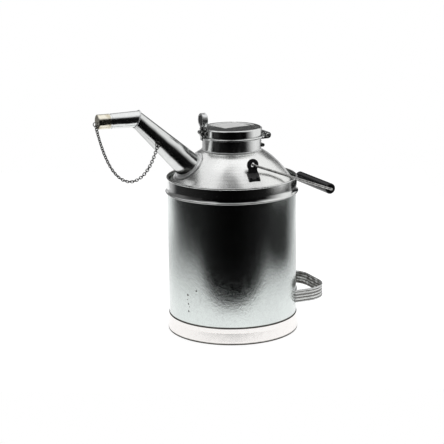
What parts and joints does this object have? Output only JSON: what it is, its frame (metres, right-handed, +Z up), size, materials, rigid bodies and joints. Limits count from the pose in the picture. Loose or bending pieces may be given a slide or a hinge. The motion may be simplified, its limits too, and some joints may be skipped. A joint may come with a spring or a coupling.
{
  "type": "oil storage can",
  "caption": "Galvanised oil can with a hinged and clasped lid, a bent spout with a chained cap, a wire bail with a grip and a tipping handle.",
  "frame": {"origin": "centre of the foot, on the floor", "axes": "+Z up, spout to -X, lid hinge and tipping handle to +X, bail ears at -Y and +Y"},
  "size_m": [0.4022, 0.221, 0.3793],
  "materials": {
    "galvanised": "bright galvanised sheet",
    "dark_steel": "blackened steel",
    "brassed": "pale yellow passivated steel",
    "seal": "oil-proof rubber ring",
    "black": "black tube, glossy"
  },
  "bodies": {
    "can": {"body_shell": "galvanised", "foot_band": "galvanised", "bottom_disc": "galvanised", "top_band": "galvanised", "shoulder": "galvanised", "neck": "galvanised", "hinge_bracket": "galvanised", "bracket_rivets": "dark_steel", "hinge_pin": "dark_steel", "spout_lower": "galvanised", "spout_outlet": "galvanised", "spout_collar": "galvanised", "chain_staple": "dark_steel", "chain_ring": "dark_steel", "cap_chain": "dark_steel", "front_ear": "dark_steel", "rear_ear": "dark_steel", "ear_rivets": "dark_steel", "tipping_handle": "galvanised", "handle_rivets": "dark_steel"},
    "lid_group": {"lid": "galvanised", "lid_gasket": "seal", "hinge_strap": "galvanised", "strap_rivets": "dark_steel", "clasp_lug": "galvanised", "lug_rivets": "dark_steel", "clasp_pin": "dark_steel", "clasp_spring": "dark_steel"},
    "clasp": {"clasp_lever": "galvanised", "thumb_knob": "galvanised", "knob_rivet": "dark_steel"},
    "cap": {"outlet_cap": "brassed", "cap_eye": "dark_steel"},
    "bail": {"bail_wire": "dark_steel"},
    "hand_grip": {"grip": "black"}
  },
  "joints": [
    {"name": "lid_hinge", "type": "hinge", "parent": "can", "child": "lid_group", "pos_m": [0.0614, 0, 0.32394], "axis": [0, 1, 0], "range_deg": [0, 115]},
    {"name": "clasp_press", "type": "hinge", "parent": "lid_group", "child": "clasp", "pos_m": [-0.0544, 0, 0.3355], "axis": [0, 1, 0], "range_deg": [0, 12], "stiffness_Nm_per_rad": 0.2},
    {"name": "cap_pull", "type": "slide", "parent": "can", "child": "cap", "axis": [-1, 0, 0], "range_m": [0, 0.025], "deforming": ["cap_chain"]},
    {"name": "bail_swing", "type": "hinge", "parent": "can", "child": "bail", "pos_m": [0, 0, 0.29176], "axis": [0, -1, 0], "range_deg": [0, 158]},
    {"name": "grip_spin", "type": "hinge", "parent": "bail", "child": "hand_grip", "pos_m": [0.15512, 0, 0.23266], "axis": [0, 1, 0], "continuous": true}
  ]
}
